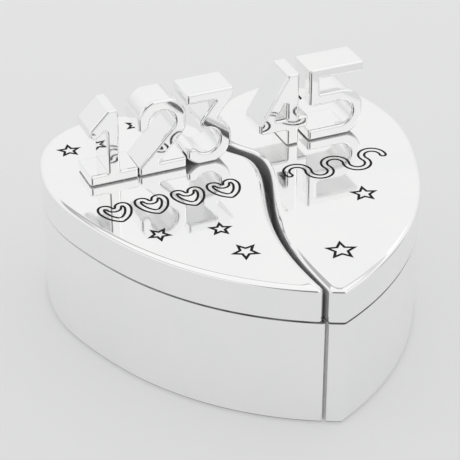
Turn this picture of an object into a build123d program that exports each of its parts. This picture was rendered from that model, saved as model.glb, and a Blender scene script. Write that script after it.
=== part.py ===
"""A heart-shaped keepsake box, parted from tip to cleft into two small boxes with lift-off lids.

Lengths are in millimetres and angles in degrees. +Z is up, +X runs to the right across the heart
and +Y runs from the heart's tip to its cleft. The origin is the middle of the footprint, on the
surface that the box stands on.
"""

from math import asin, atan, atan2, cos, degrees, pi, radians, sin, sqrt, tan
import os

from build123d import *

# Outline of the heart, as wide and long as the lids
heart_width = 76.0
heart_length = 78.2
cleft_depth = 16.7
flank_radius = 89.0
tip_radius = 1.0
widest_place_share = 0.696
lobe_top_share = 0.516
lobe_radius_share = 0.935
shoulder_turn = 15.1
flank_turn = 9.6

# Line of the parting, as shares of the heart's width and length, from below the tip upwards
parting_point_shares = [(-0.034, -0.04), (-0.0475, 0.155), (-0.004, 0.412), (0.052, 0.655)]
lid_gap_at_tip = 0.40
lid_gap_at_cleft = 2.4
base_gap = 0.4
base_gap_aside = 0.2
lid_corner_radius = 0.85
base_corner_radius = 0.4
cleft_corner_radius = 3.0

# Cups
base_height = 22.65
base_wall = 2.0
base_floor = 2.2
lid_overhang = 0.12
base_edge_radius = 0.3
rim_chamfer = 0.2

# Felt under the cups
felt_thickness = 1.0
felt_stand = 0.35
felt_inset = 1.6

# Lids
lid_height = 7.2
lid_plate = 2.0
lid_edge_radius = 0.8
tongue_clearance = 0.3
tongue_wall = 1.2
tongue_drop = 2.4
tongue_lead = 0.3

# Linings
lining_thickness = 1.2
glue_film = 0.15
lining_headroom = 0.6

# Standing figures
figure_height = 16.0
figure_depth = 7.6
figure_stroke = 2.6
figure_land = 0.3
figure_edge_radius = 0.55
figure_corner_radius = 0.5
figure_blend_radius = 0.3
figure_gap = 0.2
one_width = 10.0
two_width = 10.0
three_width = 10.0
four_width = 10.6
five_width = 12.0
left_row_margin = 3.6
right_row_margin = 2.1
row_front_share = 0.661

# Shapes of the figures, as shares of each figure's width and height
one_flag_shares = (0.14, 0.76)
three_waist_shares = (0.42, 0.60)
three_hook_turn = 50.0
four_stem_share = 0.68
four_bar_share = 0.32
five_back_share = 0.60

# Screws that hold the figures
screw_radius = 0.7
screw_head_radius = 1.3
screw_head_angle = 90.0
screw_reach = 1.8
screw_slot_width = 0.4
screw_slot_depth = 0.3
screw_spacing = 4.0
screw_hole_clearance = 0.1
thread_clearance = 0.03

# Engraved and enamelled decoration
print_depth = 0.2
star_radius = 3.1
star_line = 0.52
star_waist_share = 0.46
star_points = 5
double_line = 0.52
double_line_spacing = 1.2
small_heart_count = 4
small_heart_share = 0.933
small_heart_tip_share = 1.4
scroll_count = 5
scroll_curl = 20.0

# Places and widths of the two rows, as shares of the heart's width and length
print_row_share = 0.522
left_print_share = -0.228
left_print_width_share = 0.395
right_print_share = 0.2355
right_print_width_share = 0.272

# Stars: share of the width, share of the length, share of the star's size, turn of its first point
left_star_shares = [
    (-0.150, 0.242, 1.00, 104.6),
    (-0.167, 0.357, 0.86, 74.0),
    (-0.315, 0.391, 0.87, 44.0),
    (-0.385, 0.860, 0.90, 80.0),
    (-0.174, 0.920, 0.85, 60.0),
]
right_star_shares = [
    (0.0655, 0.158, 1.10, 71.0),
    (0.236, 0.369, 1.00, 73.0),
    (0.318, 0.905, 0.85, 95.0),
    (0.410, 0.826, 0.80, 62.0),
]

# Strokes and outlines that are trimmed later run this far past the trim
overrun = 2.0

os.makedirs("parts", exist_ok=True)

sides = {"left": -1, "right": 1}
cleft_height = heart_length - cleft_depth
seam_z = felt_stand + base_height
lid_top_z = seam_z + lid_height
hollow_top_z = lid_top_z - lid_plate
floor_z = felt_stand + base_floor
tongue_z = seam_z - tongue_drop
screw_head_height = (screw_head_radius - screw_radius) / tan(radians(screw_head_angle / 2))
cavity_inset = base_wall + glue_film
hollow_inset = base_wall + tongue_clearance + tongue_wall


def heart_sketch(width, length, cleft, flank, point_radius):
    """The heart, its tip at the origin: arcs up one side from tip to cleft, and their mirror image."""
    half_width = width / 2
    widest = (half_width, widest_place_share * length)
    lobe_x = lobe_top_share * half_width
    lobe_radius = lobe_radius_share * (half_width - lobe_x)
    rise = length - lobe_radius - widest[1]
    run = half_width - lobe_x
    shoulder_radius = (run**2 + rise**2 - lobe_radius**2) / (2 * (run - lobe_radius))
    lobe_turn = degrees(asin(rise / (shoulder_radius - lobe_radius)))
    with BuildSketch(mode=Mode.PRIVATE) as heart:
        with BuildLine():
            shoulder = JernArc(widest, (0, -1), shoulder_radius, -shoulder_turn)
            flank_arc = JernArc(shoulder @ 1, shoulder % 1, flank, -flank_turn)
            TangentArc(flank_arc @ 1, (0, 0), tangent=flank_arc % 1)
            upper = JernArc(widest, (0, 1), shoulder_radius, lobe_turn)
            lobe = JernArc(upper @ 1, upper % 1, lobe_radius, 90 - lobe_turn)
            TangentArc(lobe @ 1, (0, length - cleft), tangent=lobe % 1)
            mirror(about=Plane.YZ)
        make_face()
        fillet(heart.vertices().sort_by(Axis.Y)[0], point_radius)
    return heart.sketch


whole_heart = heart_sketch(heart_width, heart_length, cleft_depth, flank_radius, tip_radius)
heart_box = whole_heart.bounding_box()
tip_y = -(heart_box.min.Y + heart_box.max.Y) / 2


def side_sketch(sign):
    """Everything on one side of the parting: its line, continued straight up out of the cleft."""
    points = [(x * heart_width, y * heart_length) for x, y in parting_point_shares]
    first_way = (points[1][0] - points[0][0], points[1][1] - points[0][1])
    far_x = sign * heart_width
    far_y = heart_length + overrun
    with BuildSketch(mode=Mode.PRIVATE) as region:
        with BuildLine():
            Spline(*points, (0, cleft_height), tangents=(first_way, (0, 1)))
            Polyline((0, cleft_height), (0, far_y), (far_x, far_y), (far_x, points[0][1]), points[0])
        make_face()
    return region.sketch


def half_sketch(sign, inset, tip_shift, cleft_shift, corner_radius):
    """One half of the heart, drawn in by inset, its parting moved aside at the tip and at the cleft.

    The outlines that show have a corner radius, and their corner at the cleft is rounded more.
    """
    swing = degrees(atan2(tip_shift - cleft_shift, cleft_height))
    with BuildSketch(mode=Mode.PRIVATE) as half:
        with Locations((0, tip_y)):
            add(whole_heart)
        if inset:
            offset(amount=-inset)
        with Locations((tip_shift, tip_y)):
            add(side_sketch(sign), rotation=swing, mode=Mode.INTERSECT)
        if corner_radius:
            tip_end = (parting_point_shares[0][0] * heart_width + tip_shift, tip_y)
            cleft_line = half.edges().filter_by(GeomType.LINE)[0]
            cleft_end = cleft_line.vertices().sort_by(Axis.Y)[-1]
            fillet(cleft_end, min(cleft_corner_radius, cleft_line.length))
            fillet(half.vertices().sort_by_distance(tip_end)[0], corner_radius)
    return half.sketch


def base_half(sign, inset):
    """One half at the cups' parting, drawn in by inset on every side."""
    step = sign * (base_gap / 2 + inset)
    corner_radius = 0 if inset else base_corner_radius
    return half_sketch(sign, lid_overhang + inset, base_gap_aside + step, step, corner_radius)


bulge_x = parting_point_shares[-1][0] * heart_width
row_front_y = tip_y + row_front_share * heart_length
screw_rows = [row_front_y + (figure_depth + turn * screw_spacing) / 2 for turn in (-1, 1)]


def figure_one(width, low, high):
    """A slanting flag and a stem, on a slab foot."""
    with BuildLine(mode=Mode.PRIVATE) as flag_and_stem:
        Polyline((one_flag_shares[0] * width, one_flag_shares[1] * high), (width / 2, high), (width / 2, low))
    with BuildLine(mode=Mode.PRIVATE) as foot:
        Line((-overrun, low), (width + overrun, low))
    return [flag_and_stem.line, foot.line]


def figure_two(width, low, high):
    """A bowl, then a slope that leaves it without a corner, then a slab foot."""
    radius = width / 2 - low
    centre_y = high - radius
    lean = 2 * degrees(atan(radius / (centre_y - low)))
    with BuildLine(mode=Mode.PRIVATE) as stroke:
        bowl = JernArc((low, centre_y), (0, 1), radius, -180 - lean)
        Polyline(bowl @ 1, (low, low), (width + overrun, low))
    return [stroke.line]


def figure_three(width, low, high):
    """A flat top, a slope back to the middle and a round bowl below."""
    waist = (three_waist_shares[0] * width, three_waist_shares[1] * high)
    with BuildLine(mode=Mode.PRIVATE) as stroke:
        Polyline((0, high), (width - low, high), waist)
        JernArc(waist, (1, 0), (waist[1] - low) / 2, -180 - three_hook_turn)
    return [stroke.line]


def figure_four(width, low, high):
    """A slope down to a cross bar, and a stem through it."""
    stem_x = four_stem_share * width
    bar_y = four_bar_share * high
    with BuildLine(mode=Mode.PRIVATE) as slope_and_bar:
        Polyline((stem_x, high), (low, bar_y), (width + overrun, bar_y))
    with BuildLine(mode=Mode.PRIVATE) as stem:
        Line((stem_x, -overrun), (stem_x, high + overrun))
    return [slope_and_bar.line, stem.line]


def figure_five(width, low, high):
    """A flat top, a short back and a round bowl with a straight tail."""
    back_y = five_back_share * high
    radius = (back_y - low) / 2
    bowl_x = width - low - radius
    with BuildLine(mode=Mode.PRIVATE) as stroke:
        Polyline((width + overrun, high), (low, high), (low, back_y), (bowl_x, back_y))
        JernArc((bowl_x, back_y), (1, 0), radius, -180)
        Line((bowl_x, low), (-overrun, low))
    return [stroke.line]


def figure_sketch(draw, width):
    """The figure's strokes at full thickness, cut flat where it stands and where it ends."""
    low = figure_stroke / 2 - figure_land
    with BuildSketch(mode=Mode.PRIVATE) as face:
        for path in draw(width, low, figure_height - low):
            with BuildLine():
                add(path)
                offset(amount=figure_stroke / 2, side=Side.BOTH)
            make_face()
        with Locations((width / 2, figure_height / 2)):
            RectangleRounded(width, figure_height, figure_corner_radius, mode=Mode.INTERSECT)
        # Out, in and out again: this rounds every inner and outer corner of the outline
        offset(amount=figure_blend_radius)
        offset(amount=-2 * figure_blend_radius)
        offset(amount=figure_blend_radius)
    return face.sketch


def star_sketch(radius):
    """The outline of a five-pointed star, one line wide."""
    waist = star_waist_share * radius
    turn = pi / star_points
    side = sqrt(radius**2 + waist**2 - 2 * radius * waist * cos(turn))
    side_distance = radius * waist * sin(turn) / side
    inner = 1 - star_line / side_distance
    reaches = [(radius, waist)[step % 2] for step in range(2 * star_points)]
    points = [(reach * cos(step * turn), reach * sin(step * turn)) for step, reach in enumerate(reaches)]
    with BuildSketch(mode=Mode.PRIVATE) as star:
        Polygon(*points, align=None)
        Polygon(*[(x * inner, y * inner) for x, y in points], align=None, mode=Mode.SUBTRACT)
    return star.sketch


def stars_sketch(shares):
    """All the stars of one lid."""
    with BuildSketch(mode=Mode.PRIVATE) as stars:
        for x, y, size, turn in shares:
            with Locations((x * heart_width, tip_y + y * heart_length)):
                add(star_sketch(size * star_radius), rotation=turn)
    return stars.sketch


def hearts_sketch():
    """A row of small hearts, each drawn with two lines."""
    pitch = left_print_width_share * heart_width / small_heart_count
    shrink = small_heart_share * pitch / heart_width
    sizes = [shrink * size for size in (heart_width, heart_length, cleft_depth, flank_radius)]
    small = heart_sketch(*sizes, small_heart_tip_share * double_line)
    with BuildSketch(mode=Mode.PRIVATE) as lines:
        for outer in (0, double_line_spacing):
            add(drawn_in(small, outer))
            add(drawn_in(small, outer + double_line), mode=Mode.SUBTRACT)
    with BuildSketch(mode=Mode.PRIVATE) as row:
        with Locations((left_print_share * heart_width, print_y - shrink * heart_length / 2)):
            with GridLocations(pitch, 0, small_heart_count, 1):
                add(lines.sketch)
    return row.sketch


def drawn_in(face, amount):
    """A copy of a face, drawn in by an amount."""
    with BuildSketch(mode=Mode.PRIVATE) as copy:
        add(face)
        if amount:
            offset(amount=-amount)
    return copy.sketch


def scroll_sketch():
    """A running scroll of arcs that curl a little past half a turn, drawn with two lines."""
    step = right_print_width_share * heart_width / scroll_count
    scroll_radius = step / (2 * cos(radians(scroll_curl)))
    start_x = right_print_share * heart_width - scroll_count * step / 2
    breadths = {Mode.ADD: double_line_spacing + double_line, Mode.SUBTRACT: double_line_spacing - double_line}
    with BuildSketch(mode=Mode.PRIVATE) as scroll:
        for mode, breadth in breadths.items():
            with BuildLine():
                for turn in range(scroll_count):
                    way = 1 - 2 * (turn % 2)
                    start = (start_x + turn * step, print_y)
                    heading = (-sin(radians(scroll_curl)), way * cos(radians(scroll_curl)))
                    JernArc(start, heading, scroll_radius, -way * (180 + 2 * scroll_curl))
                offset(amount=breadth / 2, side=Side.BOTH)
            make_face(mode=mode)
    return scroll.sketch


print_y = tip_y + print_row_share * heart_length
prints = {
    "left": {"stars": stars_sketch(left_star_shares), "hearts": hearts_sketch()},
    "right": {"stars": stars_sketch(right_star_shares), "scroll": scroll_sketch()},
}

# Standing figures, from the left: name, side, strokes, width, share of the width where the foot stands
figures = {
    "left": [
        ("figure_one", figure_one, one_width, 0.5),
        ("figure_two", figure_two, two_width, 0.5),
        ("figure_three", figure_three, three_width, three_waist_shares[0]),
    ],
    "right": [
        ("figure_four", figure_four, four_width, four_stem_share),
        ("figure_five", figure_five, five_width, 0.5),
    ],
}
left_row_width = sum(row[2] for row in figures["left"]) + (len(figures["left"]) - 1) * figure_gap
row_starts = {"left": bulge_x - left_row_margin - left_row_width, "right": bulge_x + right_row_margin}
screw_places = {}

for side, row in figures.items():
    start_x = row_starts[side]
    screw_places[side] = []
    for name, draw, width, foot_share in row:
        holes = [(start_x + foot_share * width, y) for y in screw_rows]
        with BuildPart() as figure:
            with BuildSketch(Plane((start_x, row_front_y, lid_top_z), x_dir=(1, 0, 0), z_dir=(0, -1, 0))):
                add(figure_sketch(draw, width))
            extrude(amount=-figure_depth)
            fillet(figure.faces().filter_by(Axis.Y).sort_by(Axis.Y)[0].edges(), figure_edge_radius)
            fillet(figure.faces().filter_by(Axis.Y).sort_by(Axis.Y)[-1].edges(), figure_edge_radius)
            with BuildSketch(Plane.XY.offset(lid_top_z)):
                with Locations(*holes):
                    Circle(screw_radius + thread_clearance)
            extrude(amount=screw_reach, mode=Mode.SUBTRACT)
        figure.part.label = name
        export_step(figure.part, f"parts/{name}.step")
        screw_places[side] += holes
        start_x += width + figure_gap

for side, sign in sides.items():
    with BuildPart() as base:
        with BuildSketch(Plane.XY.offset(felt_stand)):
            add(base_half(sign, 0))
        extrude(amount=base_height)
        fillet(base.faces().sort_by(Axis.Z)[0].edges(), base_edge_radius)
        rim = base.faces().sort_by(Axis.Z)[-1].edges()
        # The corner at the cleft is rounded no further than its short straight edge is long, nor is the rim
        chamfer(rim, min(rim_chamfer, rim.filter_by(GeomType.LINE)[0].length))
        with BuildSketch(Plane.XY.offset(floor_z)):
            add(base_half(sign, base_wall))
        extrude(amount=base_height, mode=Mode.SUBTRACT)
        with BuildSketch(Plane.XY.offset(felt_stand)):
            add(base_half(sign, felt_inset))
        extrude(amount=felt_thickness - felt_stand, mode=Mode.SUBTRACT)
    base.part.label = f"{side}_base"
    export_step(base.part, f"parts/{side}_base.step")

    with BuildPart() as base_felt:
        with BuildSketch(Plane.XY):
            add(base_half(sign, felt_inset + glue_film))
        extrude(amount=felt_thickness)
    base_felt.part.label = f"{side}_base_felt"
    export_step(base_felt.part, f"parts/{side}_base_felt.step")

    with BuildPart() as wall_lining:
        with BuildSketch(Plane.XY.offset(floor_z)):
            add(base_half(sign, cavity_inset))
            add(base_half(sign, cavity_inset + lining_thickness), mode=Mode.SUBTRACT)
        extrude(amount=tongue_z - lining_headroom - floor_z)
    wall_lining.part.label = f"{side}_wall_lining"
    export_step(wall_lining.part, f"parts/{side}_wall_lining.step")

    with BuildPart() as floor_lining:
        with BuildSketch(Plane.XY.offset(floor_z)):
            add(base_half(sign, cavity_inset + lining_thickness + glue_film))
        extrude(amount=lining_thickness)
    floor_lining.part.label = f"{side}_floor_lining"
    export_step(floor_lining.part, f"parts/{side}_floor_lining.step")

    with BuildPart() as lid:
        with BuildSketch(Plane.XY.offset(seam_z)):
            tip_shift, cleft_shift = sign * lid_gap_at_tip / 2, sign * lid_gap_at_cleft / 2
            add(half_sketch(sign, 0, tip_shift, cleft_shift, lid_corner_radius))
        extrude(amount=lid_height)
        fillet(lid.faces().sort_by(Axis.Z)[-1].edges(), lid_edge_radius)
        chamfer(lid.faces().sort_by(Axis.Z)[0].edges(), rim_chamfer)
        with BuildSketch(Plane.XY.offset(seam_z)):
            add(base_half(sign, base_wall + tongue_clearance))
        extrude(amount=-tongue_drop)
        chamfer(lid.faces().sort_by(Axis.Z)[0].edges(), tongue_lead)
        with BuildSketch(Plane.XY.offset(hollow_top_z)):
            add(base_half(sign, hollow_inset))
        extrude(amount=-lid_height - tongue_drop, mode=Mode.SUBTRACT)
        with BuildSketch(Plane.XY.offset(lid_top_z)):
            for decoration in prints[side].values():
                add(decoration)
        extrude(amount=-print_depth, mode=Mode.SUBTRACT)
        for x, y in screw_places[side]:
            with Locations(Plane((x, y, hollow_top_z), z_dir=(0, 0, -1))):
                CounterSinkHole(
                    screw_radius + screw_hole_clearance,
                    screw_head_radius + screw_hole_clearance,
                    counter_sink_angle=screw_head_angle,
                )
    lid.part.label = f"{side}_lid"
    export_step(lid.part, f"parts/{side}_lid.step")

    with BuildPart() as lid_lining:
        with BuildSketch(Plane.XY.offset(hollow_top_z)):
            add(base_half(sign, hollow_inset + glue_film))
        extrude(amount=-lining_thickness)
    lid_lining.part.label = f"{side}_lid_lining"
    export_step(lid_lining.part, f"parts/{side}_lid_lining.step")

    with BuildPart() as screws:
        with Locations(*[(x, y, hollow_top_z) for x, y in screw_places[side]]):
            Cone(
                screw_head_radius,
                screw_radius,
                screw_head_height,
                align=(Align.CENTER, Align.CENTER, Align.MIN),
            )
            Cylinder(screw_radius, lid_plate + screw_reach, align=(Align.CENTER, Align.CENTER, Align.MIN))
            Box(
                2 * screw_head_radius,
                screw_slot_width,
                screw_slot_depth,
                align=(Align.CENTER, Align.CENTER, Align.MIN),
                mode=Mode.SUBTRACT,
            )
    screws.part.label = f"{side}_figure_screws"
    export_step(screws.part, f"parts/{side}_figure_screws.step")

    for kind, decoration in prints[side].items():
        with BuildPart() as enamel:
            with BuildSketch(Plane.XY.offset(lid_top_z)):
                add(decoration)
            extrude(amount=-print_depth)
        enamel.part.label = f"{side}_lid_{kind}"
        export_step(enamel.part, f"parts/{side}_lid_{kind}.step")
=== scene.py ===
# %% [markdown]
# # A heart-shaped keepsake box in polished silver plate
#
# The box is a heart, parted by an S-shaped line into two small boxes, each with its own lift-off lid. Thick
# standing numerals are screwed to the lids, and black enamel fills a few stars and a row of figures on each
# lid. The solids come from the CAD program, already in metres and in place. This lesson dresses them: it
# makes finer surfaces where light shows every step, then the finishes, the table and the light.

import math

import bpy
import numpy as np
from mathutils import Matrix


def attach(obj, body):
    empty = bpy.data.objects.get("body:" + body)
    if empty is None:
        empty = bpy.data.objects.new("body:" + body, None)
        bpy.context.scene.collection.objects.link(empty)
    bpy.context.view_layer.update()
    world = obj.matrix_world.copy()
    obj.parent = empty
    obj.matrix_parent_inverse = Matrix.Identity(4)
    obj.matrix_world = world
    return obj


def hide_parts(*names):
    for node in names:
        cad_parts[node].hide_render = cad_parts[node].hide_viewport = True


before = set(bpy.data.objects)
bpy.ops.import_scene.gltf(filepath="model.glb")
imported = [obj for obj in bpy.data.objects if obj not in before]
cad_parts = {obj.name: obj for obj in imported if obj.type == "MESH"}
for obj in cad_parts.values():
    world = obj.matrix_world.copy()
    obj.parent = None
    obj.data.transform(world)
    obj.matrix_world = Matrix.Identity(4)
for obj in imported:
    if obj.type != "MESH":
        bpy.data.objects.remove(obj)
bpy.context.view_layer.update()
MM = 0.001
TINY = 1e-9

# %% [markdown]
# ## The sizes
#
# These are the box's own sizes in millimetres. The CAD source works from the same ones, so each surface
# below lies where its solid lies. Where the two differ it is on purpose: small chamfers there are roundings
# here, and the lid's edge is rolled over further, because polished metal has no perfectly sharp edge.

# %% Sizes of the heart and its parting
HEART_WIDTH = 76.0
HEART_LENGTH = 78.2
CLEFT_DEPTH = 16.7
FLANK_RADIUS = 89.0
TIP_RADIUS = 1.0
WIDEST_PLACE = 0.696
LOBE_TOP = 0.516
LOBE_RADIUS = 0.935
SHOULDER_TURN = math.radians(15.1)
FLANK_TURN = math.radians(9.6)
CLEFT_HEIGHT = HEART_LENGTH - CLEFT_DEPTH
PARTING_POINTS = [(-0.034, -0.04), (-0.0475, 0.155), (-0.004, 0.412), (0.052, 0.655)]
# How fast the parting's curve runs at its two ends, as a share of the distance between its points
PARTING_END_SPEEDS = (1.0968, 1.6474)

# %% Heights and thicknesses
FELT_STAND = 0.35
FELT_THICKNESS = 1.0
FELT_INSET = 1.6
SEAM_Z = 23.0
LID_TOP_Z = 30.2
HOLLOW_TOP_Z = 28.2
FLOOR_Z = 2.55
TONGUE_Z = 20.6
WALL = 2.0
LID_OVERHANG = 0.12
BASE_GAP = 0.4
BASE_GAP_ASIDE = 0.2
LID_GAP_AT_TIP = 0.4
LID_GAP_AT_CLEFT = 2.4
TONGUE_INSET = 2.3
HOLLOW_INSET = 3.5
GLUE_FILM = 0.15
LINING = 1.2
LID_EDGE_DROP = 0.8
LID_EDGE_WIDTH = 1.3
LID_CORNER_WEAR = 1.6
BASE_EDGE_RADIUS = 0.3
RIM_RADIUS = 0.2
TONGUE_LEAD = 0.3
LID_CORNER_RADIUS = 0.85
CUP_CORNER_RADIUS = 0.4
CLEFT_CORNER_RADIUS = 3.0
INNER_CORNER_RADIUS = 0.5
TONGUE_CORNER_RADIUS = 0.8

# %% [markdown]
# ## The outline of the heart
#
# A pleasing heart is a few arcs that run into one another without a corner. Each arc is known by where it
# starts, which way it heads, its radius and how far it turns, so the points and the outward directions can
# both be worked out exactly. The directions matter as much as the points: polished metal shows the room, and
# a direction that is off by half a degree shows as a dent.

# %% Arcs
ARC_STEP = 0.2


def turned(vectors, angle):
    """Vectors turned by an angle: x' = x cos - y sin, y' = x sin + y cos."""
    c, s = np.cos(angle), np.sin(angle)
    x, y = vectors[..., 0], vectors[..., 1]
    return np.stack([x * c - y * s, x * s + y * c], -1)


def cross(first, second):
    """The area that two flat vectors span: more than zero where the second lies anticlockwise of the first."""
    return first[..., 0] * second[..., 1] - first[..., 1] * second[..., 0]


def arc(start, heading, radius, turn):
    """Points and headings along an arc. Start swings round a centre one radius to the side that it turns to."""
    start, heading = np.asarray(start, float), np.asarray(heading, float)
    centre = start + math.copysign(radius, turn) * np.array([-heading[1], heading[0]])
    swing = np.linspace(0.0, turn, max(4, int(radius * abs(turn) / ARC_STEP)))
    return centre + turned(start - centre, swing), turned(heading, swing)


def arc_to(start, heading, end):
    """The arc that leaves start along heading and reaches end: it turns by twice the angle to the chord."""
    chord = np.subtract(end, start)
    lean = math.atan2(cross(heading, chord), np.dot(heading, chord))
    return arc(start, heading, np.hypot(*chord) / (2 * math.sin(abs(lean))), 2 * lean)


def backwards(points, headings):
    """The same line walked the other way."""
    return points[::-1], -headings[::-1]


def joined(*lines):
    """Lines laid end to end as one: their points, and their headings or outward directions."""
    return tuple(np.concatenate(values) for values in zip(*lines))


def pointing(angles):
    """Directions at those angles."""
    return np.stack([np.cos(angles), np.sin(angles)], -1)


def outward(headings):
    """The outward direction of a line that runs anticlockwise: the heading turned a quarter clockwise."""
    return np.stack([headings[:, 1], -headings[:, 0]], -1)


# %% One flank and lobe of the heart
def heart_side(width, length, cleft):
    """Points and outward directions up the right side, from the tip at the origin to the cleft."""
    scale = width / HEART_WIDTH
    half = width / 2
    widest = (half, WIDEST_PLACE * length)
    lobe_x = LOBE_TOP * half
    lobe_radius = LOBE_RADIUS * (half - lobe_x)
    rise = length - lobe_radius - widest[1]
    run = half - lobe_x
    shoulder_radius = (run**2 + rise**2 - lobe_radius**2) / (2 * (run - lobe_radius))
    lobe_turn = math.asin(rise / (shoulder_radius - lobe_radius))
    shoulder = arc(widest, (0, -1), shoulder_radius, -SHOULDER_TURN)
    flank = arc(shoulder[0][-1], shoulder[1][-1], FLANK_RADIUS * scale, -FLANK_TURN)
    foot = arc_to(flank[0][-1], flank[1][-1], (0.0, 0.0))
    upper = arc(widest, (0, 1), shoulder_radius, lobe_turn)
    lobe = arc(upper[0][-1], upper[1][-1], lobe_radius, math.pi / 2 - lobe_turn)
    last = arc_to(lobe[0][-1], lobe[1][-1], (0.0, length - cleft))
    first, *rest = backwards(*foot), backwards(*flank), backwards(*shoulder), upper, lobe, last
    points, headings = joined(first, *[(run[0][1:], run[1][1:]) for run in rest])
    return points, outward(headings)


# %% The whole heart, its tip rounded
FAN_POINTS = 24


def fan(centre, first, last, radius):
    """A rounded corner: points a radius from the centre while the direction swings from first to last."""
    start = math.atan2(first[1], first[0])
    sweep = (math.atan2(last[1], last[0]) - start) % (2 * math.pi)
    directions = pointing(start + np.linspace(0.0, sweep, FAN_POINTS))
    return centre + radius * directions, directions


def heart_line(width=HEART_WIDTH, length=HEART_LENGTH, cleft=CLEFT_DEPTH, tip_radius=TIP_RADIUS):
    """The whole heart, anticlockwise from the cleft and back to it, its tip rounded by an arc."""
    points, outs = heart_side(width, length, cleft)
    inner_x = points[:, 0] - tip_radius * outs[:, 0]
    after = int(np.argmax(inner_x > 0))
    share = -inner_x[after - 1] / (inner_x[after] - inner_x[after - 1])
    edge = points[after - 1] + share * (points[after] - points[after - 1])
    out = outs[after - 1] + share * (outs[after] - outs[after - 1])
    out /= np.hypot(*out)
    mirror = np.array([-1.0, 1.0])
    tip = fan(edge - tip_radius * out, out * mirror, out, tip_radius)
    points, outs = points[after:], outs[after:]
    return joined((points[::-1] * mirror, outs[::-1] * mirror), tip, (points, outs))


heart_points, heart_outs = heart_line()
TIP_Y = -(heart_points[:, 1].min() + heart_points[:, 1].max()) / 2
heart_size = np.round(np.ptp(heart_points, axis=0), 3)
print("heart:", len(heart_points), "points,", heart_size, "mm, tip at y", round(TIP_Y, 3))

# %% [markdown]
# ## The S-shaped parting
#
# The line between the two boxes is one smooth curve through four points, which then runs straight up out of
# the cleft. A cubic curve through given points is found by asking that speed and bend agree where two pieces
# meet. That makes one small set of linear equations, which numpy solves at once.

# %% The parting
PARTING_SAMPLES = 60


def parting_line():
    """Points and headings up the parting: a cubic curve through its points, then a straight end."""
    knots = np.array([(x * HEART_WIDTH, y * HEART_LENGTH) for x, y in PARTING_POINTS] + [(0, CLEFT_HEIGHT)])
    gaps = np.hypot(*np.diff(knots, axis=0).T)
    slopes = np.diff(knots, axis=0) / gaps[:, None]
    matrix = np.eye(len(knots))
    wanted = np.zeros((len(knots), 2))
    first_way = knots[1] - knots[0]
    wanted[0] = PARTING_END_SPEEDS[0] * first_way / np.hypot(*first_way)
    wanted[-1] = (0.0, PARTING_END_SPEEDS[1])
    inner = np.arange(1, len(knots) - 1)
    matrix[inner, inner - 1] = gaps[1:]
    matrix[inner, inner] = 2 * (gaps[1:] + gaps[:-1])
    matrix[inner, inner + 1] = gaps[:-1]
    wanted[1:-1] = 3 * (gaps[1:, None] * slopes[:-1] + gaps[:-1, None] * slopes[1:])
    speeds = np.linalg.solve(matrix, wanted)
    t = np.linspace(0.0, 1.0, PARTING_SAMPLES, endpoint=False)[None, :, None]
    gap, a, b = gaps[:, None, None], knots[:-1, None], knots[1:, None]
    va, vb = speeds[:-1, None] * gap, speeds[1:, None] * gap
    curve = a + (b - a) * (3 * t**2 - 2 * t**3) + va * (t**3 - 2 * t**2 + t) + vb * (t**3 - t**2)
    way = (b - a) * (6 * t - 6 * t**2) + va * (3 * t**2 - 4 * t + 1) + vb * (3 * t**2 - 2 * t)
    rise = np.linspace(CLEFT_HEIGHT, HEART_LENGTH, PARTING_SAMPLES)
    straight = np.stack([0 * rise, rise], -1), np.tile((0.0, 1.0), (PARTING_SAMPLES, 1))
    points, headings = joined((curve.reshape(-1, 2), way.reshape(-1, 2)), straight)
    return points, headings / np.hypot(*headings.T)[:, None]


parting_points, parting_headings = parting_line()
print("parting: widest bulges", np.round([parting_points[:, 0].min(), parting_points[:, 0].max()], 3), "mm")

# %% [markdown]
# ## One half of the heart
#
# Each half is the heart on one side of the parting. Its two corners are rounded the way a fillet is: shift
# both lines inwards by the radius, and where the shifted lines cross is the centre of the rounding. The
# outline then is points with outward directions, and any outline further in is each point moved back along
# its own direction.

# %% Cutting a line
def read_off(line, places, wanted):
    """A line's points and outward directions at wanted places, between those of its own points."""
    points, outs = (np.stack([np.interp(wanted, places, one[:, axis]) for axis in (0, 1)], -1) for one in line)
    return points, outs / np.hypot(*outs.T)[:, None]


def part_of(line, start, end):
    """The stretch of a line between two places, each a point's number plus a share of the way to the next."""
    wanted = np.concatenate([[start], np.arange(math.floor(start) + 1, math.ceil(end)), [end]])
    return read_off(line, np.arange(len(line[0])), wanted)


def crossings(first, second):
    """All the places where two lines of points cross, as places along each, lowest on the page first."""
    p, r = first[:-1, None], np.diff(first, axis=0)[:, None]
    q, s = second[None, :-1], np.diff(second, axis=0)[None]
    area = cross(r, s)
    area = np.where(np.abs(area) < TINY, TINY, area)
    along, across = cross(q - p, s) / area, cross(q - p, r) / area
    i, j = np.nonzero((along >= 0) & (along < 1) & (across >= 0) & (across < 1))
    order = np.argsort(first[i, 1])
    i, j = i[order], j[order]
    return i + along[i, j], j + across[i, j]


def drawn_in(line, amount):
    """A line moved inwards, without the points that this carries past the heart's middle at the tip."""
    points = line[0] - amount * line[1]
    stays = points[:, 0] * line[0][:, 0] >= 0
    return points[stays], line[1][stays]


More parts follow.
